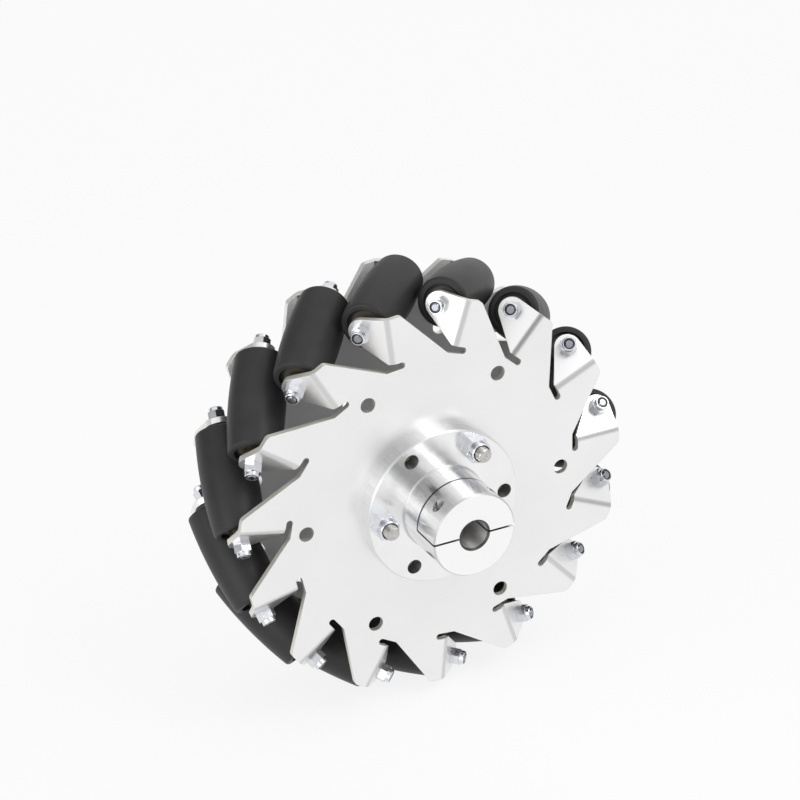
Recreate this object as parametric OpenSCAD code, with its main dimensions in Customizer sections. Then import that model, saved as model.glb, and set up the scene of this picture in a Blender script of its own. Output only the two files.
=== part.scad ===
// Mecanum wheel with fifteen rollers held between bent-tab side plates.
// The wheel turns about Y, the shaft hub is on the -Y side, and the wheel centre is the origin.
// All sizes are in millimetres.

/* [Wheel] */
// Diameter over the rollers
wheel_d = 152.4; // [148:0.2:190]
// Width over the two side plates
plates_w = 44; // [40:0.5:56]
// Number of rollers
roller_count = 15; // [10:1:15]

/* [Rollers] */
// Largest diameter of a roller
roller_d = 19.2; // [15.5:0.1:20]
// Outside diameter of the nylon core
core_d = 10.4; // [9.6:0.1:12]
// Outside diameter of the plain bushes
bush_d = 5; // [4.6:0.1:7]
// Length of each bush inside the core
bush_len = 8; // [4:0.5:12]
// Depth of the recess in each rubber end
end_recess = 1.6; // [0.6:0.1:2]
// Rounding of the rubber rim
rim_round = 1.2; // [0.4:0.1:1.6]

/* [Side plates] */
// Sheet thickness
plate_t = 2; // [1.5:0.1:2.6]
// Inside radius of the tab bends
bend_r = 2; // [0.5:0.1:2.4]
// Distance from the roller's radial line to the bend
bend_offset = 8.6; // [7.6:0.1:9.6]
// Radius of the tab round the axle
tab_tip_r = 4.6; // [4:0.1:5.4]
// Width of the relief slots
slot_w = 2.3; // [1.4:0.1:3]
// Diameter of the six plate holes
plate_hole_d = 5.3; // [3:0.1:8]
// Bolt circle of the six plate holes
plate_pcd = 96; // [84:0.5:100]

/* [Shaft hub] */
// Diameter of the shaft bore
shaft_d = 10; // [8:0.1:14]
// Diameter of the hub flange
flange_d = 56; // [54:0.5:64]
// Thickness of the hub flange
flange_t = 5.5; // [4:0.1:8]
// Diameter of the hub barrel
barrel_d = 30; // [28:0.5:34]
// Length of the barrel in front of the flange
barrel_len = 22; // [18:0.5:30]
// Length of the shaft clamp
clamp_len = 12.1; // [9:0.1:15]
// Width of the saw cuts round the clamp cap
clamp_gap = 0.7; // [0.4:0.1:1.2]
// Wall of the sleeve that carries the bore through the wheel
sleeve_wall = 4; // [2:0.1:4.5]
// Bolt circle of the hub flange
hub_pcd = 46; // [44:0.5:47]

/* [Fasteners] */
// Thread diameter of the roller axles
axle_d = 3; // [2.5:0.1:4]
// Width across flats of the axle nuts
axle_nut_af = 5.5; // [5.5:0.1:8]
// Height of the axle nuts
axle_nut_h = 4.6; // [3:0.1:6]
// Thread diameter of the hub bolts
hub_bolt_d = 5; // [4:0.1:6]
// Width across flats of the hub nuts and bolt heads
hub_nut_af = 8; // [8:0.1:9]
// Height of the hub nuts
hub_nut_h = 6.2; // [4:0.1:7]
// Thread diameter of the clamp screws
clamp_screw_d = 2; // [1.6:0.1:3]
// Outside diameter of the three spacer tubes
spacer_d = 11; // [8:0.5:14]

/* [Hidden] */
// clearances, each on the radius
bolt_clear = 0.1;
axle_hole_clear = 0.15;
running_clear = 0.05;
thread_clear = 0.02;
seat_clear = 0.1;
// free play between a roller and the washer at each end
end_play = 0.3;
// free ends of the threads past their nuts
thread_out = 0.2;
hub_thread_out = 2.4;

// wheel layout
flip = 180;
quarter = 90;
roller_tilt = 45;
pitch = 360 / roller_count;
hole_count = 6;
hole_step = 360 / hole_count;
wheel_r = wheel_d / 2;
roller_r = roller_d / 2;
axle_circle_r = wheel_r - roller_r;
face_y = plates_w / 2;
inner_y = face_y - plate_t;

// a tab stands square to its roller: distance of its outer face from the roller's middle
tab_out = (face_y + bend_offset) / sqrt(2);
tab_in = tab_out - plate_t;
// length along the tab from the sharp bend line to the axle
tab_reach = tab_out - bend_offset * sqrt(2);
bend_out_r = bend_r + plate_t;
bend_setback = bend_out_r * tan(roller_tilt / 2);
// where the flat part of a tooth ends and the bend starts
bend_v = bend_offset - bend_setback;
tooth_top_u = axle_circle_r + tab_tip_r;

// tooth outline, measured outward from the axle circle and along the rim
tooth_corner_v = 3.6;
tooth_corner_r = 2;
slot_depth = 12.8;
slot_end_v = 5.7;
slot_in_u = axle_circle_r - slot_depth - slot_w / 2;
slot_out_u = slot_in_u + slot_w;
elbow_v = 11.3;
tab_foot = 1.8;
// the disc inside the ring of teeth
disc_r = slot_in_u - slot_w;
// flat steps round a bend, and how far each side of the sheet draws in there
bend_steps = 12;
thinning = 0.01;

// rollers
contact_steps = 12;
recess_ledge = 1.2;
washer_t = 1.3;
washer_r = 3.2;
roller_half = tab_in - washer_t - end_play;
half_cos = cos(roller_tilt);
barrel_end_r = rolling_r(roller_half);
crown = roller_r - barrel_end_r;
crown_r = (pow(roller_half, 2) + pow(crown, 2)) / (2 * crown);
crown_x = roller_r - crown_r;
core_r = core_d / 2;
// the rim rounding stays within half the rubber's wall there
rim_r = min(rim_round, (barrel_end_r - core_r) / 2);
core_half = roller_half - end_recess;
rim_in_r = core_r + recess_ledge;
bush_flange_r = 3.4;
bush_r = bush_d / 2;

// axles
axle_r = axle_d / 2;
axle_half = tab_out + axle_nut_h + thread_out;
thread_chamfer = 0.4;

// locking nuts: share of the height that is round collar, its radius over half the flats, ring below the rim
collar_share = 0.32;
collar_fit = 0.88;
ring_drop = 0.3;

// hub, measured along the axis from the wheel centre towards the hub's end
bore_r = shaft_d / 2;
sleeve_r = bore_r + sleeve_wall;
flange_face = face_y + flange_t;
hub_end = flange_face + barrel_len;
clamp_start = hub_end - clamp_len;
barrel_r = barrel_d / 2;
flange_r = flange_d / 2;
edge = 0.5;
bore_edge = 0.7;
hub_bolt_r = hub_bolt_d / 2;
hub_hole_r = hub_bolt_r + bolt_clear;
bolt_angles = [60, 180, 300];
bolt_head_h = 3.5;
over = 1;

// clamp screws: head radius and half key width over the thread diameter
head_share = 0.9;
key_share = 0.46;
clamp_screw_r = clamp_screw_d / 2;
clamp_head_r = head_share * clamp_screw_d;
clamp_head_h = clamp_screw_d;
clamp_screw_x = (bore_r + barrel_r) / 2;
clamp_screw_y = (clamp_start + hub_end) / 2;
clamp_rim_x = clamp_screw_x + clamp_head_r + seat_clear;
clamp_head_top = sqrt(pow(barrel_r, 2) - pow(clamp_rim_x, 2));
clamp_seat_z = clamp_head_top - clamp_head_h;
clamp_thread = 7;

// facets round a circle
hex = 6;
fine = 96;
coarse = 48;
crown_facets = 720;
hex_corner = 1 / cos(flip / hex);

function two_digits(n) = str(n < 10 ? "0" : "", n);
rollers = [for (i = [1 : roller_count]) i];

// Radius that a tilted roller needs, at the distance s from its middle, for the wheel to roll round.
// The contact angle is found by fixed-point steps on the roller's own projection.
function contact_angle(s, steps, a) =
    steps == 0 ? a : contact_angle(s, steps - 1, atan((s - crown_shift(a)) * half_cos / axle_circle_r));
function crown_shift(a) = (wheel_r - axle_circle_r / cos(a)) * sin(a) * half_cos;
function rolling_at(a) = (wheel_r - axle_circle_r / cos(a)) * sqrt(1 - pow(sin(a) * half_cos, 2));
function rolling_r(s) = rolling_at(contact_angle(s, contact_steps, 0));

// Moves children from local Z onto the wheel axis, with local Z towards the hub's end.
module along_wheel() rotate([quarter, 0, 0]) children();

// Turns children about the wheel axis, from +X towards +Z.
module around_wheel(angle) rotate([0, -angle, 0]) children();

// Frame of the roller on +X: local Z runs along its axle from front tab to rear tab, local X is radial.
module on_axle()
    translate([axle_circle_r, 0, 0])
        rotate([roller_tilt - flip, 0, 0])
            children();

module at_roller(i)
    around_wheel((i - 1) * pitch) on_axle() children();

module ring_of(count, radius, first = 0)
    for (i = [0 : count - 1])
        rotate([0, 0, first + i * 360 / count])
            translate([radius, 0, 0])
                children();

module tube(outer, inner, height)
    difference() {
        cylinder(r = outer, h = height, $fn = coarse);
        translate([0, 0, -over]) cylinder(r = inner, h = height + 2 * over, $fn = coarse);
    }

// A pair of cones that bevels both ends of a hexagon.
module hex_body(af, height) {
    corner_r = af / 2 * hex_corner;
    bevel = (corner_r - af / 2) / 2;
    intersection() {
        cylinder(r = corner_r, h = height, $fn = hex);
        union() {
            cylinder(r1 = corner_r - bevel, r2 = corner_r, h = bevel, $fn = coarse);
            translate([0, 0, bevel]) cylinder(r = corner_r, h = height - 2 * bevel, $fn = coarse);
            translate([0, 0, height - bevel])
                cylinder(r1 = corner_r, r2 = corner_r - bevel, h = bevel, $fn = coarse);
        }
    }
}

function collar_radius(af) = collar_fit * af / 2;
function ring_seat(af, thread_r) = (thread_r + collar_radius(af)) / 2;

// Locking nut: hexagon below, round collar above with the seat of its nylon ring.
module lock_nut(af, height, thread_r) {
    collar_h = collar_share * height;
    collar_r = collar_radius(af);
    seat_r = ring_seat(af, thread_r);
    bevel = (collar_r - seat_r) / 2;
    difference() {
        union() {
            hex_body(af, height - collar_h);
            translate([0, 0, height / 2])
                cylinder(r = collar_r, h = height / 2 - bevel, $fn = coarse);
            translate([0, 0, height - bevel])
                cylinder(r1 = collar_r, r2 = collar_r - bevel, h = bevel, $fn = coarse);
        }
        translate([0, 0, -over])
            cylinder(r = thread_r + thread_clear, h = height + 2 * over, $fn = coarse);
        translate([0, 0, height - collar_h])
            cylinder(r = seat_r, h = collar_h + over, $fn = coarse);
    }
}

// Nylon ring of a locking nut, in its seat.
module nut_ring(af, height, thread_r) {
    collar_h = collar_share * height;
    translate([0, 0, height - collar_h])
        tube(
            ring_seat(af, thread_r) - thread_clear,
            thread_r + thread_clear,
            collar_h - ring_drop
        );
}

// Plain rod with bevelled ends, centred on the origin.
module stud(radius, half)
    rotate_extrude($fn = coarse)
        polygon([
            [0, -half],
            [radius - thread_chamfer, -half],
            [radius, thread_chamfer - half],
            [radius, half - thread_chamfer],
            [radius - thread_chamfer, half],
            [0, half]
        ]);

// Flat part of one tooth with its share of the disc. X is radial, Y runs along the rim.
module tooth_flat() {
    root = [slot_in_u, elbow_v];
    // the corner where this tooth's back leaves the slot of the tooth before it
    elbow = [
        root[0] * cos(pitch) + root[1] * sin(pitch),
        root[1] * cos(pitch) - root[0] * sin(pitch)
    ];
    corner = [tooth_top_u, tooth_corner_v];
    back_angle = atan2(corner[1] - elbow[1], corner[0] - elbow[0]);
    back = [cos(back_angle), sin(back_angle)];
    // the rounded corner touches the tooth's back and its top
    trim = tooth_corner_r * tan((quarter - back_angle) / 2);
    round_at = [tooth_top_u - tooth_corner_r, tooth_corner_v + trim];
    back_end = corner - trim * back;
    difference() {
        polygon([
            [slot_in_u / 2, elbow[1]],
            elbow - over * back,
            back_end,
            round_at,
            [tooth_top_u, round_at[1]],
            [tooth_top_u, bend_v],
            [slot_out_u, bend_v],
            [slot_out_u, slot_end_v],
            [slot_in_u, slot_end_v],
            [slot_in_u, elbow_v + over],
            [slot_in_u / 2, elbow_v + over]
        ]);
        translate([slot_in_u + slot_w / 2, slot_end_v]) circle(r = slot_w / 2, $fn = coarse);
    }
    intersection() {
        translate(round_at) circle(r = tooth_corner_r, $fn = coarse);
        translate([round_at[0] - tooth_corner_r, back_end[1]])
            square([2 * tooth_corner_r, round_at[1] - back_end[1]]);
    }
}

// Flat outline of a plate, with all its teeth and holes.
module plate_outline()
    difference() {
        union() {
            circle(r = disc_r, $fn = fine);
            for (i = rollers) rotate((i - 1) * pitch) tooth_flat();
        }
        circle(r = sleeve_r + seat_clear, $fn = coarse);
        ring_of(hole_count, hub_pcd / 2) circle(r = hub_hole_r, $fn = coarse);
        ring_of(hole_count, plate_pcd / 2) circle(r = plate_hole_d / 2, $fn = coarse);
    }

// Section across the bend: root inside the flat sheet, rounded bend and tab. X runs along the wheel axis.
module bend_section() {
    bend_at = [bend_out_r - face_y, bend_v];
    outer_r = bend_out_r - thinning;
    inner_r = bend_r + thinning;
    tab_length = tab_reach - bend_setback + tab_tip_r + over;
    function on_bend(r, angle) = bend_at + r * [-cos(angle), sin(angle)];
    along_tab = tab_length * [sin(roller_tilt), cos(roller_tilt)];
    turn = roller_tilt / bend_steps;
    polygon(concat(
        [on_bend(inner_r, 0) - [0, over], on_bend(outer_r, 0) - [0, over]],
        [for (k = [0 : bend_steps]) on_bend(outer_r, k * turn)],
        [on_bend(outer_r, roller_tilt) + along_tab, on_bend(inner_r, roller_tilt) + along_tab],
        [for (k = [0 : bend_steps]) on_bend(inner_r, roller_tilt - k * turn)]
    ));
}

// Face-on outline that trims the bent tab, in the roller's own frame: the bend is on the +Y side.
module tab_outline() {
    foot = [slot_out_u - axle_circle_r, tab_reach - tab_foot];
    // where the inner edge meets the tip radius
    touch = atan2(foot[1], foot[0]) + acos(tab_tip_r / norm(foot));
    tip = tab_tip_r * [cos(touch), sin(touch)];
    outer = foot + over * (foot - tip) / norm(foot - tip);
    difference() {
        union() {
            circle(r = tab_tip_r, $fn = coarse);
            polygon([
                [outer[0], wheel_r],
                outer,
                tip,
                [0, 0],
                [tab_tip_r, 0],
                [tab_tip_r, wheel_r]
            ]);
        }
        circle(r = axle_r + axle_hole_clear, $fn = coarse);
    }
}

// Bent tab of the roller on +X, rooted in the flat part of its tooth.
module bent_tab()
    intersection() {
        translate([slot_out_u + thinning, 0, 0])
            rotate([quarter, 0, quarter])
                linear_extrude(tooth_top_u - slot_out_u - 2 * thinning) bend_section();
        on_axle() translate([0, 0, -wheel_r]) linear_extrude(wheel_r) tab_outline();
    }

module side_plate() {
    translate([0, -inner_y, 0]) along_wheel() linear_extrude(plate_t) plate_outline();
    for (i = rollers) around_wheel((i - 1) * pitch) bent_tab();
}

// Cross-section of the rubber sleeve: crowned outside, rounded rims, recessed ends.
module tread_section() {
    // centre of the rim rounding, tangent inside the crown
    rim_y = roller_half - rim_r;
    rim_x = crown_x + sqrt(pow(crown_r - rim_r, 2) - pow(rim_y, 2));
    touch_y = rim_y * crown_r / (crown_r - rim_r);
    difference() {
        union() {
            intersection() {
                translate([crown_x, 0]) circle(r = crown_r, $fn = crown_facets);
                translate([core_r, -touch_y]) square([roller_r, 2 * touch_y]);
            }
            translate([core_r, -roller_half]) square([rim_x - core_r, 2 * roller_half]);
            for (side = [-1, 1]) translate([rim_x, side * rim_y]) circle(r = rim_r, $fn = coarse);
        }
        for (side = [-1, 1])
            translate([0, side * roller_half])
                square([2 * rim_in_r, 2 * end_recess], center = true);
    }
}

module tread(i) color([0.13, 0.13, 0.14])
    at_roller(i) rotate_extrude($fn = coarse) tread_section();

module core(i) color([0.86, 0.83, 0.74])
    at_roller(i) translate([0, 0, -core_half]) tube(core_r, bush_r, 2 * core_half);

// A pair of flanged plain bushes pressed into the two ends of a core.
module bushes(i) color([0.72, 0.6, 0.36])
    at_roller(i)
        for (turn = [0, flip])
            rotate([turn, 0, 0])
                translate([0, 0, core_half - bush_len])
                    rotate_extrude($fn = coarse)
                        polygon([
                            [axle_r + running_clear, 0],
                            [bush_r, 0],
                            [bush_r, bush_len],
                            [bush_flange_r, bush_len],
                            [bush_flange_r, bush_len + end_recess],
                            [axle_r + running_clear, bush_len + end_recess]
                        ]);

module front_plate() color([0.85, 0.86, 0.87]) side_plate();

module rear_plate() color([0.8, 0.81, 0.82]) rotate([flip, 0, 0]) side_plate();

module axle_studs() color([0.62, 0.64, 0.67])
    for (i = rollers) at_roller(i) stud(axle_r, axle_half);

// Seats children on the outer face of each front tab.
module at_front_nuts()
    for (i = rollers)
        at_roller(i) rotate([flip, 0, 0]) translate([0, 0, tab_out]) children();

// Seats children on the outer face of each rear tab.
module at_rear_nuts()
    for (i = rollers)
        at_roller(i) translate([0, 0, tab_out]) children();

module axle_nuts_front() color([0.7, 0.72, 0.75])
    at_front_nuts() lock_nut(axle_nut_af, axle_nut_h, axle_r);

module axle_nuts_rear() color([0.7, 0.72, 0.75])
    at_rear_nuts() lock_nut(axle_nut_af, axle_nut_h, axle_r);

module axle_nut_rings() color([0.2, 0.21, 0.23]) {
    at_front_nuts() nut_ring(axle_nut_af, axle_nut_h, axle_r);
    at_rear_nuts() nut_ring(axle_nut_af, axle_nut_h, axle_r);
}

module washers_front() color([0.9, 0.88, 0.8])
    for (i = rollers)
        at_roller(i) translate([0, 0, -tab_in]) tube(washer_r, axle_r + axle_hole_clear, washer_t);

module washers_rear() color([0.9, 0.88, 0.8])
    for (i = rollers)
        at_roller(i) translate([0, 0, tab_in - washer_t])
            tube(washer_r, axle_r + axle_hole_clear, washer_t);

// Turned blank of the hub, with the bore right through.
module hub_blank()
    rotate_extrude($fn = fine)
        polygon([
            [bore_r, -face_y],
            [sleeve_r, -face_y],
            [sleeve_r, face_y],
            [flange_r, face_y],
            [flange_r, flange_face - edge],
            [flange_r - edge, flange_face],
            [barrel_r + edge, flange_face],
            [barrel_r, flange_face + edge],
            [barrel_r, hub_end - edge],
            [barrel_r - edge, hub_end],
            [bore_r + bore_edge, hub_end],
            [bore_r, hub_end - bore_edge]
        ]);

// Block that separates the cap, grown by a margin on its two sawn faces.
module cap_zone(margin)
    translate([-barrel_d, margin, clamp_start + margin])
        cube([2 * barrel_d, barrel_d, clamp_len + over]);

// Drilling for the two clamp screws, with local Y upwards.
module clamp_drilling()
    for (side = [-1, 1])
        translate([side * clamp_screw_x, 0, clamp_screw_y])
            rotate([-quarter, 0, 0]) {
                translate([0, 0, clamp_seat_z])
                    cylinder(r = clamp_head_r + seat_clear, h = barrel_d, $fn = coarse);
                cylinder(r = clamp_screw_r + bolt_clear, h = barrel_d, $fn = coarse);
                translate([0, 0, -clamp_thread - thread_chamfer])
                    cylinder(
                        r = clamp_screw_r + thread_clear,
                        h = clamp_thread + thread_chamfer,
                        $fn = coarse
                    );
            }

module hub() color([0.78, 0.8, 0.83])
    along_wheel()
        difference() {
            hub_blank();
            cap_zone(-clamp_gap / 2);
            clamp_drilling();
            ring_of(hole_count, hub_pcd / 2)
                translate([0, 0, face_y - over])
                    cylinder(r = hub_hole_r, h = flange_t + 2 * over, $fn = coarse);
        }

module clamp_cap() color([0.83, 0.84, 0.87])
    along_wheel()
        difference() {
            intersection() {
                hub_blank();
                cap_zone(clamp_gap / 2);
            }
            clamp_drilling();
        }

module clamp_screws() color([0.35, 0.36, 0.38])
    along_wheel()
        for (side = [-1, 1])
            translate([side * clamp_screw_x, 0, clamp_screw_y])
                rotate([-quarter, 0, 0])
                    difference() {
                        union() {
                            translate([0, 0, clamp_seat_z])
                                cylinder(r = clamp_head_r, h = clamp_head_h, $fn = coarse);
                            translate([0, 0, -clamp_thread])
                                cylinder(r = clamp_screw_r, h = clamp_thread + clamp_head_top, $fn = coarse);
                        }
                        translate([0, 0, clamp_head_top - clamp_head_h / 2])
                            cylinder(r = key_share * clamp_screw_d, h = clamp_head_h, $fn = hex);
                    }

module at_hub_bolts()
    along_wheel()
        for (angle = bolt_angles)
            rotate([0, 0, angle])
                translate([hub_pcd / 2, 0, 0])
                    children();

// Tubes on the hub bolts that hold the plates apart.
module spacers() color([0.6, 0.62, 0.65])
    at_hub_bolts()
        translate([0, 0, -inner_y]) tube(spacer_d / 2, hub_hole_r, 2 * inner_y);

module hub_bolts() color([0.62, 0.64, 0.67])
    at_hub_bolts() {
        tip = flange_face + hub_nut_h + hub_thread_out;
        translate([0, 0, (tip - face_y - edge) / 2]) stud(hub_bolt_r, (tip + face_y + edge) / 2);
        translate([0, 0, -face_y - bolt_head_h]) hex_body(hub_nut_af, bolt_head_h);
    }

module hub_nuts() color([0.7, 0.72, 0.75])
    at_hub_bolts()
        translate([0, 0, flange_face]) lock_nut(hub_nut_af, hub_nut_h, hub_bolt_r);

module hub_nut_rings() color([0.2, 0.21, 0.23])
    at_hub_bolts()
        translate([0, 0, flange_face]) nut_ring(hub_nut_af, hub_nut_h, hub_bolt_r);

front_plate();
rear_plate();
hub();
clamp_cap();
clamp_screws();
spacers();
hub_bolts();
hub_nuts();
hub_nut_rings();
axle_studs();
axle_nuts_front();
axle_nuts_rear();
axle_nut_rings();
washers_front();
washers_rear();
for (i = rollers) tread(i);
for (i = rollers) core(i);
for (i = rollers) bushes(i);
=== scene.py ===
"""Looks of a mecanum wheel: bent-tab side plates, rubber rollers, turned hub and fasteners.

The wheel turns about Y, its centre is the origin and its hub points towards -Y. Everything is in
metres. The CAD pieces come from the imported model, and the few sizes here repeat those of part.scad.
"""

import math

import bmesh
import bpy
from mathutils import Matrix, Vector


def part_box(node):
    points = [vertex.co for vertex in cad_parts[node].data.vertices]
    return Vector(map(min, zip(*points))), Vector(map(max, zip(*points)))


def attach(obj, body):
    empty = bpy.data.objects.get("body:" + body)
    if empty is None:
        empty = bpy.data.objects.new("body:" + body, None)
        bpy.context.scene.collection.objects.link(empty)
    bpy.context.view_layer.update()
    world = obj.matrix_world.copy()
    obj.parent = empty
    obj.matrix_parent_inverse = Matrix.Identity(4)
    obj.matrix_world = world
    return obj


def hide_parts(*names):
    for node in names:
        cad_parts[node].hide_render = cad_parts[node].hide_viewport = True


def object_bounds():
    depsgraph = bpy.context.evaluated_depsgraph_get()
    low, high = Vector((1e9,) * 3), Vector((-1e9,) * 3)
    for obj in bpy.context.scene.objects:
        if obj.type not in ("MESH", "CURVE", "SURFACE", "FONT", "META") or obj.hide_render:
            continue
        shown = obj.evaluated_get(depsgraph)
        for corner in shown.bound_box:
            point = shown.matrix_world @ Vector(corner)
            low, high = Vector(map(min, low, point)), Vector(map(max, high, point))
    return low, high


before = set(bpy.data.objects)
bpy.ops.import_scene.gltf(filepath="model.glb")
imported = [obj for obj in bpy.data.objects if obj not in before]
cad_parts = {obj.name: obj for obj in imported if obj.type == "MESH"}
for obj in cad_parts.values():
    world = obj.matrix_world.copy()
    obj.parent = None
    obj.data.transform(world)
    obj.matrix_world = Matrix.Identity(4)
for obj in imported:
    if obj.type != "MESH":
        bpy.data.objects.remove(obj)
cad_low, cad_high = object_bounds()

MM = 0.001

# ---------------------------------------------------------------- camera, angles in degrees
CAMERA_AZIMUTH = -25.83
CAMERA_ELEVATION = 26.79
CAMERA_ROLL = -1.73
CAMERA_DISTANCE = 0.8932
# where the wheel's centre lies beside the view's middle, per metre of distance
CAMERA_SIDE_SHIFT = 0.0026
CAMERA_DOWN_SHIFT = 0.0279
CAMERA_LENS_MM = 117.2
SENSOR_MM = 36.0
CLIP_START = 0.01
CLIP_END = 50.0


def make_camera():
    """Camera at the photograph's viewing angle, aimed beside the wheel's centre."""
    azimuth = math.radians(CAMERA_AZIMUTH)
    elevation = math.radians(CAMERA_ELEVATION)
    roll = math.radians(CAMERA_ROLL)
    back = Vector((
        math.sin(azimuth) * math.cos(elevation),
        -math.cos(azimuth) * math.cos(elevation),
        math.sin(elevation),
    ))
    level = Vector((math.cos(azimuth), math.sin(azimuth), 0.0))
    up = back.cross(level)
    right = level * math.cos(roll) + up * math.sin(roll)
    up = up * math.cos(roll) - level * math.sin(roll)
    aim = Vector((CAMERA_SIDE_SHIFT, -CAMERA_DOWN_SHIFT, -1.0)).normalized()
    centre = (right * aim.x + up * aim.y + back * aim.z) * CAMERA_DISTANCE
    data = bpy.data.cameras.new("camera")
    data.lens = CAMERA_LENS_MM
    data.sensor_width = SENSOR_MM
    data.clip_start = CLIP_START
    data.clip_end = CLIP_END
    camera = bpy.data.objects.new("camera", data)
    bpy.context.scene.collection.objects.link(camera)
    turn = Matrix((right, up, back)).transposed().to_4x4()
    camera.matrix_world = Matrix.Translation(-centre) @ turn
    bpy.context.scene.camera = camera


# ---------------------------------------------------------------- node helpers
BEVEL_SAMPLES = 4


class Graph:
    """The node tree of a material or the world, with short calls for the nodes used here.

    A value is either a node's output or a constant.
    """

    def __init__(self, owner):
        owner.use_nodes = True
        self.owner = owner
        self.tree = owner.node_tree
        self.shader = self.tree.nodes.get("Principled BSDF")

    def add(self, kind, **settings):
        node = self.tree.nodes.new("ShaderNode" + kind)
        for key, value in settings.items():
            setattr(node, key, value)
        return node

    def link(self, value, socket):
        """Joins an output to the socket, or sets the constant on it."""
        if isinstance(value, bpy.types.NodeSocket):
            self.tree.links.new(value, socket)
        else:
            socket.default_value = value

    def math(self, operation, a, b=0.0, clamp=False):
        node = self.add("Math", operation=operation, use_clamp=clamp)
        self.link(a, node.inputs[0])
        self.link(b, node.inputs[1])
        return node.outputs[0]

    def plus(self, a, b, clamp=False):
        return self.math("ADD", a, b, clamp)

    def times(self, a, b):
        return self.math("MULTIPLY", a, b)

    def above(self, value, limit):
        return self.math("GREATER_THAN", value, limit)

    def below(self, value, limit):
        return self.math("LESS_THAN", value, limit)

    def between(self, value, low, high):
        """1 where the value lies between low and high, else 0."""
        return self.times(self.above(value, low), self.below(value, high))

    def place(self):
        """The point on the piece, which moves with the piece."""
        return self.add("TexCoord").outputs["Object"]

    def facing(self):
        """How far the surface faces along the wheel's axis, from 0 to 1."""
        along = self.split(self.add("TexCoord").outputs["Normal"])[1]
        return self.math("ABSOLUTE", along)

    def split(self, vector):
        node = self.add("SeparateXYZ")
        self.link(vector, node.inputs[0])
        return node.outputs

    def join(self, x, y, z):
        node = self.add("CombineXYZ")
        for value, socket in zip((x, y, z), node.inputs):
            self.link(value, socket)
        return node.outputs[0]

    def noise(self, vector, scale, detail, roughness=0.5):
        """Noise with about scale features to the metre."""
        node = self.add("TexNoise")
        self.link(vector, node.inputs["Vector"])
        node.inputs["Scale"].default_value = scale
        node.inputs["Detail"].default_value = detail
        node.inputs["Roughness"].default_value = roughness
        return node.outputs["Fac"]

    def spread(self, value, low, high, start=0.3, end=0.7):
        """Low where the value is start, high where it is end. Noise is mostly from 0.3 to 0.7."""
        node = self.add("MapRange")
        self.link(value, node.inputs["Value"])
        node.inputs["From Min"].default_value = start
        node.inputs["From Max"].default_value = end
        node.inputs["To Min"].default_value = low
        node.inputs["To Max"].default_value = high
        return node.outputs["Result"]

    def blend(self, factor, first, second):
        node = self.add("Mix", data_type="RGBA")
        self.link(factor, node.inputs["Factor"])
        # inputs 6 and 7 and output 2 are the colour ones
        self.link(first, node.inputs[6])
        self.link(second, node.inputs[7])
        return node.outputs[2]

    def tint(self, noise, dark, light):
        """Patches between two colours."""
        return self.blend(self.spread(noise, 0.0, 1.0), dark, light)

    def bump(self, height, strength, distance, under=None):
        node = self.add("Bump")
        self.link(height, node.inputs["Height"])
        node.inputs["Strength"].default_value = strength
        node.inputs["Distance"].default_value = distance
        if under is not None:
            self.link(under, node.inputs["Normal"])
        return node.outputs["Normal"]

    def soft_edge(self, radius):
        """Normal that rounds the sharp edges of a piece."""
        edge = self.add("Bevel", samples=BEVEL_SAMPLES)
        edge.inputs["Radius"].default_value = radius
        return edge.outputs[0]

    def finish(self, color, roughness, normal=None, **constants):
        """Feeds the shader. Constants are set on the sockets of those names."""
        self.link(color, self.shader.inputs["Base Color"])
        self.link(roughness, self.shader.inputs["Roughness"])
        if normal is not None:
            self.link(normal, self.shader.inputs["Normal"])
        for key, value in constants.items():
            self.shader.inputs[key.replace("_", " ")].default_value = value
        return self.owner


def material_graph(name):
    """The graph of a new material."""
    return Graph(bpy.data.materials.new(name))


def grey(value, warmth=0.0):
    """A near-neutral colour, shifted by warmth towards cream, or towards blue below zero."""
    return (value * (1.0 + 0.3 * warmth), value, value * (1.0 - warmth), 1.0)


# ---------------------------------------------------------------- side plates
# facing: 1 on flat faces, 0.71 on the tabs, 0 on cut edges and on walls round the axis
WALL_FACING = 0.3
SHEET_FACING = 0.99
# the bend of a tab lies between these two ramps of facing
BEND_TAB_SIDE = (0.72, 0.80)
BEND_PLATE_SIDE = (0.95, 0.995)
# how much of the painted shade goes into the bends
BEND_SHADE_SHARE = 0.7
# just outside the plates' inner faces, which lie 20 mm from the wheel's middle
SHEET_INSIDE_Y = 20.2 * MM
SHEET_EDGE = 0.2 * MM
# roughness added on cut edges and inner faces
SHEET_DULL = 0.15
# the noise runs this much slower along Z, so the grain is drawn out that way
GRAIN_SQUEEZE = 0.12


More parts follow.
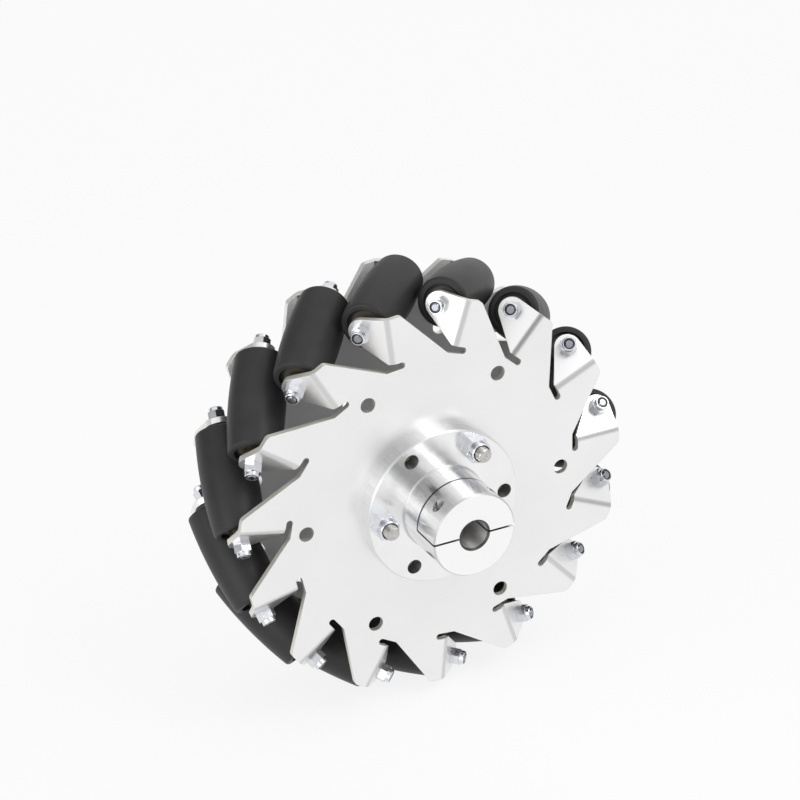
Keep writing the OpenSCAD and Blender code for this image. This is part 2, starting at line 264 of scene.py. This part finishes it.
def plate_material(name, cut_color):
    """Rolled aluminium sheet, satin, with a fine grain along Z."""
    g = material_graph(name)
    place = g.place()
    x, y, z = g.split(place)
    facing = g.facing()
    grain = g.noise(g.join(x, y, g.times(z, GRAIN_SQUEEZE)), scale=6500.0, detail=2.0)
    cloud = g.noise(place, scale=26.0, detail=4.0)
    color = g.tint(cloud, dark=grey(0.86), light=grey(0.91))
    # the bends are painted darker grey, painted shade along each tab's crease
    bend = g.times(g.spread(facing, 0.0, 1.0, *BEND_TAB_SIDE),
                   g.spread(facing, 1.0, 0.0, *BEND_PLATE_SIDE))
    color = g.blend(g.times(bend, BEND_SHADE_SHARE), color, grey(0.55))
    # the cut edges are a little warmer than the faces, and duller on the front plate; on the rear
    # plate they are painted lighter, painted light on the rear tabs and in the gap between the plates
    cut = g.below(facing, WALL_FACING)
    color = g.blend(cut, color, cut_color)
    # the inner faces were never finished
    inside = g.times(g.below(g.math("ABSOLUTE", y), SHEET_INSIDE_Y), g.above(facing, SHEET_FACING))
    g.link(g.spread(inside, 0.85, 0.25, start=0.0, end=1.0), g.shader.inputs["Metallic"])
    dull = g.times(g.plus(cut, inside, clamp=True), SHEET_DULL)
    satin = g.plus(g.spread(grain, 0.30, 0.35), g.spread(cloud, -0.02, 0.03))
    normal = g.bump(grain, strength=0.02, distance=0.01 * MM, under=g.soft_edge(SHEET_EDGE))
    return g.finish(color, g.plus(satin, dull), normal)


# ---------------------------------------------------------------- hub
FLAT_FACING = 0.97
# masks, as distances from the wheel's axis and places along it
BORE_WALL_R = 5.2 * MM
BORE_MOUTH_R = 6.5 * MM
SHOULDER_R = (13.0 * MM, 17.0 * MM)
FLANGE_HOLES_R = (16.0 * MM, 27.4 * MM)
END_FACE_Y = -45.0 * MM
# roughness added in the bore, in the holes and on broken edges
HUB_DULL = 0.35
# the noise runs this much slower along the axis, so the painted reflection streaks are drawn out that
# way
STREAK_SQUEEZE = 0.04


def hub_material():
    """Turned aluminium: the tool marks run round the axis, so reflections streak across them."""
    g = material_graph("hub_aluminium")
    place = g.place()
    x, y, z = g.split(place)
    radius = g.math("SQRT", g.plus(g.times(x, x), g.times(z, z)))
    facing = g.facing()
    wall = g.below(facing, WALL_FACING)
    flat = g.above(facing, FLAT_FACING)
    broken = g.between(facing, WALL_FACING, FLAT_FACING)
    rings = g.noise(g.join(radius, y, 0.0), scale=4200.0, detail=3.0)
    cloud = g.noise(place, scale=70.0, detail=3.0)
    color = g.tint(cloud, dark=grey(0.85), light=grey(0.91))
    # faint dark streaks along the barrel, painted reflections on the turned metal
    streak_noise = g.noise(g.join(x, g.times(y, STREAK_SQUEEZE), z), scale=900.0, detail=3.0, roughness=0.6)
    painted_streaks = g.times(wall, g.spread(streak_noise, 0.0, 0.55, start=0.45, end=0.75))
    color = g.blend(painted_streaks, color, grey(0.62, -0.01))
    # the walls of the flange's holes and the bore are painted darker, painted shade in these hollows;
    # they are also rougher
    hole = g.times(wall, g.between(radius, *FLANGE_HOLES_R))
    color = g.blend(hole, color, grey(0.22, 0.06))
    bore = g.below(radius, BORE_WALL_R)
    color = g.blend(bore, color, grey(0.62, 0.03))
    # the bore's mouth is painted near black and the shoulder's chamfer darker, painted shade that
    # stands in for their dark reflections; all broken edges are also rougher
    mouth = g.times(broken, g.below(radius, BORE_MOUTH_R))
    color = g.blend(mouth, color, grey(0.12))
    shoulder = g.times(broken, g.between(radius, *SHOULDER_R))
    color = g.blend(shoulder, color, grey(0.74))
    # the hub's end face is faced smooth and bright
    end_face = g.times(flat, g.below(y, END_FACE_Y))
    color = g.blend(end_face, color, grey(0.95))
    dull = g.times(g.plus(g.plus(bore, hole), broken, clamp=True), HUB_DULL)
    roughness = g.plus(g.spread(rings, 0.15, 0.22), dull)
    normal = g.bump(rings, strength=0.06, distance=0.01 * MM)
    round_axis = g.add("Tangent", direction_type="RADIAL", axis="Y")
    g.link(round_axis.outputs[0], g.shader.inputs["Tangent"])
    return g.finish(color, roughness, normal,
                    Metallic=1.0, Anisotropic=0.85, Anisotropic_Rotation=0.25)


# ---------------------------------------------------------------- small metal, plastic and rubber
METAL_EDGE = 0.12 * MM


def metal_material(name, tone, warmth, rough):
    """Plated or drawn metal with a fine grain and softened edges."""
    g = material_graph(name)
    cloud = g.noise(g.place(), scale=900.0, detail=4.0)
    color = g.tint(cloud, dark=grey(tone * 0.88, warmth), light=grey(tone, warmth))
    roughness = g.spread(cloud, rough - 0.05, rough + 0.06)
    normal = g.bump(cloud, strength=0.08, distance=0.02 * MM, under=g.soft_edge(METAL_EDGE))
    return g.finish(color, roughness, normal, Metallic=1.0)


def bolt_material():
    """Zinc-plated steel, patchy and a little warm. The thread is real, so no edge is softened."""
    g = material_graph("hub_bolt_zinc")
    cloud = g.noise(g.place(), scale=1400.0, detail=4.0)
    color = g.tint(cloud, dark=grey(0.44, 0.05), light=grey(0.64, 0.04))
    normal = g.bump(cloud, strength=0.12, distance=0.03 * MM)
    return g.finish(color, g.spread(cloud, 0.24, 0.38), normal, Metallic=1.0)


def plastic_material(name, tone, warmth, rough):
    """Moulded or turned nylon, slightly uneven."""
    g = material_graph(name)
    cloud = g.noise(g.place(), scale=450.0, detail=3.0)
    color = g.tint(cloud, dark=grey(tone * 0.9, warmth), light=grey(tone, warmth))
    normal = g.bump(cloud, strength=0.15, distance=0.03 * MM)
    return g.finish(color, g.spread(cloud, rough - 0.05, rough + 0.05), normal)


def rubber_material():
    """Moulded black rubber: satin, with a very fine grain and faint patches of wear."""
    g = material_graph("roller_rubber")
    place = g.place()
    grain = g.noise(place, scale=2600.0, detail=3.0)
    wear = g.noise(place, scale=110.0, detail=4.0)
    color = g.tint(wear, dark=grey(0.032), light=grey(0.040))
    roughness = g.plus(g.spread(wear, 0.40, 0.48), g.spread(grain, -0.03, 0.03))
    normal = g.bump(grain, strength=0.2, distance=0.03 * MM)
    return g.finish(color, roughness, normal, Specular_IOR_Level=0.22)


# ---------------------------------------------------------------- materials on the CAD nodes
ROLLERS = [f"{i:02d}" for i in range(1, 16)]

# nodes, material, tone, warmth, roughness
METALS = [
    (["spacers"], "spacer_aluminium", 0.7, 0.0, 0.35),
    (["clamp_screws"], "screw_steel", 0.25, 0.0, 0.3),
    (["axle_studs"], "stud_zinc", 0.34, -0.10, 0.25),
    (["hub_nuts", "axle_nuts_front", "axle_nuts_rear"], "nut_zinc", 0.80, -0.05, 0.2),
    ([f"bushes_{k}" for k in ROLLERS], "bush_bronze", 0.25, 0.4, 0.4),
]
PLASTICS = [
    (["hub_nut_rings", "axle_nut_rings"], "nut_ring_nylon", 0.022, -0.5, 0.4),
    # the washers are painted dark olive, painted shade of the narrow gap between tab and roller
    (["washers_front", "washers_rear"], "washer_nylon", 0.08, 0.16, 0.5),
    # the cores are cream nylon painted dark olive, painted shade of the recess in each roller's end
    ([f"core_{k}" for k in ROLLERS], "core_nylon", 0.09, 0.20, 0.5),
]


def dress(nodes, material):
    """Puts one material on the named CAD nodes, which have one slot each."""
    for node in nodes:
        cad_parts[node].data.materials[0] = material


def dress_frame():
    dress(["front_plate"], plate_material("front_sheet", cut_color=grey(0.80, 0.09)))
    # the rear plate's cut edges are painted near white, painted light in the gap between the plates
    dress(["rear_plate"], plate_material("rear_sheet", cut_color=grey(0.90, 0.03)))
    dress(["hub", "clamp_cap"], hub_material())
    dress([f"tread_{k}" for k in ROLLERS], rubber_material())
    for nodes, *look in METALS:
        dress(nodes, metal_material(*look))
    for nodes, *look in PLASTICS:
        dress(nodes, plastic_material(*look))


# ---------------------------------------------------------------- hub bolts with their thread
BOLT_R = 2.5 * MM
BOLT_CIRCLE_R = 23.0 * MM
# degrees from +X towards +Z
BOLT_ANGLES = (60, 180, 300)
BOLT_TIP_BEVEL = 0.4 * MM
BOLT_FACETS = 48
HEAD_HEIGHT = 3.5 * MM
HEAD_ACROSS_FLATS = 8.0 * MM
HEAD_CORNER_R = HEAD_ACROSS_FLATS / math.sqrt(3.0)
HEAD_BEVEL = 0.31 * MM
THREAD_PITCH = 0.8 * MM
THREAD_DEPTH = 0.45 * MM
THREAD_LENGTH = 4.0 * MM
# shares of half a pitch, from the middle of the crest, where the flank starts and ends
THREAD_CREST = 0.125
THREAD_ROOT = 0.75
RINGS_PER_PITCH = 16
SHARP_ANGLE = math.radians(32.0)


def thread_radius(along, turn):
    """Radius of the bolt's free end, at metres along from its tip and a turn in radians."""
    phase = (along / THREAD_PITCH - turn / (2.0 * math.pi)) % 1.0
    from_crest = abs(phase - 0.5) * 2.0
    depth = min(max((from_crest - THREAD_CREST) / (THREAD_ROOT - THREAD_CREST), 0.0), 1.0)
    # the thread runs out over its last turn
    fade = min((THREAD_LENGTH - along) / THREAD_PITCH, 1.0)
    return min(BOLT_R - THREAD_DEPTH * depth * fade, BOLT_R - BOLT_TIP_BEVEL + along)


def head_radius(turn, cone):
    """Radius of the six-sided head, cut back by a cone at its two ends."""
    side = math.pi / 3.0
    flat = HEAD_CORNER_R * math.cos(side / 2.0)
    return min(flat / math.cos((turn % side) - side / 2.0), cone)


def bolt_rings(length):
    """Place along the bolt, and radius as a function of the turn, from the tip to the head."""
    steps = round(THREAD_LENGTH / THREAD_PITCH * RINGS_PER_PITCH)
    rings = []
    for k in range(steps + 1):
        along = THREAD_LENGTH * k / steps
        rings.append((along, lambda turn, a=along: thread_radius(a, turn)))
    seat = length - HEAD_HEIGHT
    blunt = HEAD_CORNER_R - HEAD_BEVEL
    rings.append((seat, lambda turn: BOLT_R))
    rings.append((seat, lambda turn: head_radius(turn, blunt)))
    rings.append((seat + HEAD_BEVEL, lambda turn: head_radius(turn, HEAD_CORNER_R)))
    rings.append((length - HEAD_BEVEL, lambda turn: head_radius(turn, HEAD_CORNER_R)))
    rings.append((length, lambda turn: head_radius(turn, blunt)))
    return rings


def close_ring(mesh, ring, middle):
    """A flat end on a ring of points."""
    centre = mesh.verts.new(middle)
    for k in range(len(ring)):
        mesh.faces.new((centre, ring[(k + 1) % len(ring)], ring[k]))


def add_bolt(mesh, angle, tip_y, length):
    """One bolt as a single closed skin, with a corner of its hexagon away from the wheel's axis."""
    outward = Vector((math.cos(angle), 0.0, math.sin(angle)))
    beside = Vector((math.sin(angle), 0.0, -math.cos(angle)))
    axis = Vector((0.0, 1.0, 0.0))
    start = outward * BOLT_CIRCLE_R + axis * tip_y
    turns = [2.0 * math.pi * k / BOLT_FACETS for k in range(BOLT_FACETS)]
    before = None
    for along, radius in bolt_rings(length):
        ring = []
        for turn in turns:
            spoke = outward * math.cos(turn) + beside * math.sin(turn)
            ring.append(mesh.verts.new(start + axis * along + spoke * radius(turn)))
        if before is None:
            close_ring(mesh, ring, start)
        else:
            for k in range(BOLT_FACETS):
                j = (k + 1) % BOLT_FACETS
                mesh.faces.new((before[k], before[j], ring[j], ring[k]))
        before = ring
    close_ring(mesh, before[::-1], start + axis * length)


def build_hub_bolts():
    low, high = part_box("hub_bolts")
    mesh = bmesh.new()
    for angle in BOLT_ANGLES:
        add_bolt(mesh, math.radians(angle), low.y, high.y - low.y)
    bmesh.ops.recalc_face_normals(mesh, faces=mesh.faces)
    data = bpy.data.meshes.new("threaded_hub_bolts")
    mesh.to_mesh(data)
    mesh.free()
    data.shade_smooth()
    data.set_sharp_from_angle(angle=SHARP_ANGLE)
    data.materials.append(bolt_material())
    bolts = bpy.data.objects.new("threaded_hub_bolts", data)
    bpy.context.scene.collection.objects.link(bolts)
    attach(bolts, "wheel")
    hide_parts("hub_bolts")


# ---------------------------------------------------------------- studio
# direction, cosine where the card starts, cosine where it is full, how much darker it is there
CARDS = [
    ((1.00, -0.10, 0.20), 0.80, 0.95, 0.13),
    ((-0.30, -0.88, 0.36), 0.90, 0.97, 0.72),
    ((-0.10, -0.99, 0.02), 0.93, 0.985, 0.50),
    ((0.62, -0.76, 0.18), 0.94, 0.985, 0.62),
    ((-0.50, 0.84, 0.20), 0.45, 0.90, 0.70),
]
# strength of the dome as soft light; seen, mirrored or through glass it is white, with strength 1
DOME_LIGHT = 0.84
CARD_DARKEST = 0.06

# name, place, size, power in watts
LAMPS = [
    ("left_softbox", (-0.95, -0.40, 0.25), 0.7, 3.0),
    ("right_softbox", (0.45, -0.60, 0.85), 0.5, 3.0),
]

FLOOR_HALF = 6.0
FLOOR_GAP = 0.05 * MM
# share of the floor's look that is plain white; the rest is lit and keeps the wheel's shadow
FLOOR_GLOW = 0.86


def background_seen(g, path):
    """1 for a ray that shows the background, directly, mirrored or through glass, else 0."""
    seen = g.plus(path.outputs["Is Camera Ray"], path.outputs["Is Glossy Ray"], clamp=True)
    return g.plus(seen, path.outputs["Is Transmission Ray"], clamp=True)


def make_world():
    """A white dome. The dark cards on it show only in reflections and in the light."""
    world = bpy.data.worlds.new("studio")
    bpy.context.scene.world = world
    g = Graph(world)
    direction = g.add("TexCoord").outputs["Generated"]
    path = g.add("LightPath")
    total = g.spread(background_seen(g, path), DOME_LIGHT, 1.0, start=0.0, end=1.0)
    for toward, start, full, darker in CARDS:
        dot = g.add("VectorMath", operation="DOT_PRODUCT")
        g.link(direction, dot.inputs[0])
        dot.inputs[1].default_value = Vector(toward).normalized()
        card = g.add("MapRange", interpolation_type="SMOOTHSTEP")
        g.link(dot.outputs["Value"], card.inputs["Value"])
        card.inputs["From Min"].default_value = start
        card.inputs["From Max"].default_value = full
        card.inputs["To Max"].default_value = darker
        total = g.math("SUBTRACT", total, card.outputs["Result"])
    total = g.math("MAXIMUM", total, CARD_DARKEST)
    # the camera sees plain white and no card
    total = g.math("MAXIMUM", total, path.outputs["Is Camera Ray"])
    dome = g.tree.nodes["Background"]
    dome.inputs["Color"].default_value = grey(1.0)
    g.link(total, dome.inputs["Strength"])


def make_floor():
    """Plain white floor just under the lowest roller, which keeps a soft shadow."""
    z = cad_low.z - FLOOR_GAP
    sides = [(-1, -1), (1, -1), (1, 1), (-1, 1)]
    corners = [(x * FLOOR_HALF, y * FLOOR_HALF, z) for x, y in sides]
    data = bpy.data.meshes.new("floor")
    data.from_pydata(corners, [], [(0, 1, 2, 3)])
    floor = bpy.data.objects.new("floor", data)
    bpy.context.scene.collection.objects.link(floor)
    g = material_graph("floor_white")
    g.finish(color=grey(0.9), roughness=0.9)
    glow = g.add("Emission")
    mix = g.add("MixShader")
    g.link(g.times(background_seen(g, g.add("LightPath")), FLOOR_GLOW), mix.inputs[0])
    g.link(g.shader.outputs[0], mix.inputs[1])
    g.link(glow.outputs[0], mix.inputs[2])
    g.link(mix.outputs[0], g.tree.nodes["Material Output"].inputs[0])
    data.materials.append(g.owner)


def area_light(name, place, size, power):
    """A soft square lamp aimed at the wheel's centre."""
    data = bpy.data.lights.new(name, "AREA")
    data.shape = "SQUARE"
    data.size = size
    data.energy = power
    lamp = bpy.data.objects.new(name, data)
    lamp.location = place
    lamp.rotation_euler = Vector(place).to_track_quat("Z", "Y").to_euler()
    bpy.context.scene.collection.objects.link(lamp)


def make_studio():
    make_world()
    make_floor()
    for lamp in LAMPS:
        area_light(*lamp)


make_camera()
dress_frame()
build_hub_bolts()
make_studio()

bpy.context.scene.view_settings.view_transform = "Standard"
